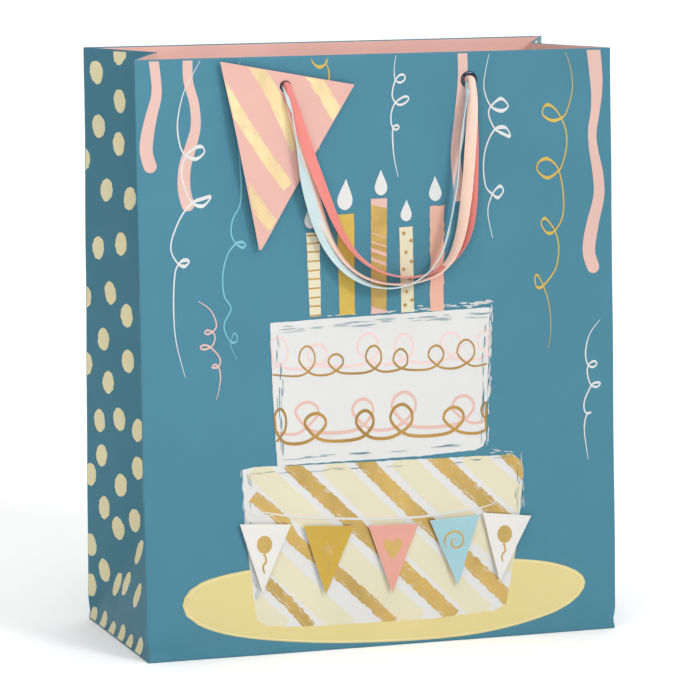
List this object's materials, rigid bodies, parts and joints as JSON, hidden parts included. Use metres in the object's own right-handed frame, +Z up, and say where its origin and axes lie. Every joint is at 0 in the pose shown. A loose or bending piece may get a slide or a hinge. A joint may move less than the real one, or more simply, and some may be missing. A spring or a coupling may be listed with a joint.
{
  "type": "gift bag",
  "caption": "Upright laminated paper gift bag with folded-in gussets, block bottom, ribbon handles through metal eyelets, a hanging triangular tag and raised card pennants.",
  "frame": {"origin": "centre of the base's underside", "axes": "+Z up the bag, -Y out of the front panel with the tag and pennants, +X to the right seen from the front"},
  "size_m": [0.265, 0.1234, 0.315],
  "materials": {
    "panel_print": "satin laminate",
    "gusset_print": "satin laminate",
    "hem_print": "satin laminate",
    "plain_paper": "matt uncoated",
    "grey_board": "matt",
    "eyelet_metal": "dark gunmetal",
    "ribbon_coral": "grosgrain",
    "ribbon_peach": "grosgrain",
    "ribbon_blue": "satin",
    "tag_card": "satin laminate with foil",
    "card_white": "matt with foil",
    "card_mustard": "matt with foil",
    "card_pink": "matt with foil",
    "card_blue": "matt with foil",
    "foam": "matt closed-cell foam"
  },
  "bodies": {
    "bag": {"back_hem": "hem_print", "back_hem_board": "grey_board", "back_left_eyelet": "eyelet_metal", "back_left_knot": "ribbon_coral", "back_panel": "panel_print", "back_right_eyelet": "eyelet_metal", "back_right_knot": "ribbon_coral", "base_back_flap": "plain_paper", "base_board": "grey_board", "base_front_flap": "plain_paper", "base_left_flap": "plain_paper", "base_right_flap": "plain_paper", "foam_pad_1": "foam", "foam_pad_2": "foam", "foam_pad_3": "foam", "foam_pad_4": "foam", "foam_pad_5": "foam", "front_hem": "hem_print", "front_hem_board": "grey_board", "front_left_eyelet": "eyelet_metal", "front_left_knot": "ribbon_coral", "front_panel": "panel_print", "front_right_eyelet": "eyelet_metal", "front_right_knot": "ribbon_coral", "left_gusset_back": "gusset_print", "left_gusset_foot": "gusset_print", "left_gusset_front": "gusset_print", "left_gusset_hem": "hem_print", "pennant_1": "card_white", "pennant_2": "card_mustard", "pennant_3": "card_pink", "pennant_4": "card_blue", "pennant_5": "card_white", "right_gusset_back": "gusset_print", "right_gusset_foot": "gusset_print", "right_gusset_front": "gusset_print", "right_gusset_hem": "hem_print", "side_seam_flap": "plain_paper"},
    "front_handle": {"front_blue_ribbon": "ribbon_blue", "front_coral_ribbon": "ribbon_coral", "front_peach_ribbon": "ribbon_peach"},
    "back_handle": {"back_blue_ribbon": "ribbon_blue", "back_coral_ribbon": "ribbon_coral", "back_peach_ribbon": "ribbon_peach"},
    "tag": {"gift_tag": "tag_card"}
  },
  "joints": [
    {"name": "front_handle_swing", "type": "hinge", "parent": "bag", "child": "front_handle", "pos_m": [0, -0.05212, 0.29993], "axis": [-1, 0, 0], "range_deg": [0, 180]},
    {"name": "back_handle_swing", "type": "hinge", "parent": "bag", "child": "back_handle", "pos_m": [0, 0.05974, 0.30003], "axis": [1, 0, 0], "range_deg": [0, 180]},
    {"name": "tag_swing", "type": "hinge", "parent": "bag", "child": "tag", "pos_m": [-0.0517, -0.04985, 0.29914], "axis": [0, -0.9991, 0.0413], "range_deg": [-80, 100]}
  ]
}
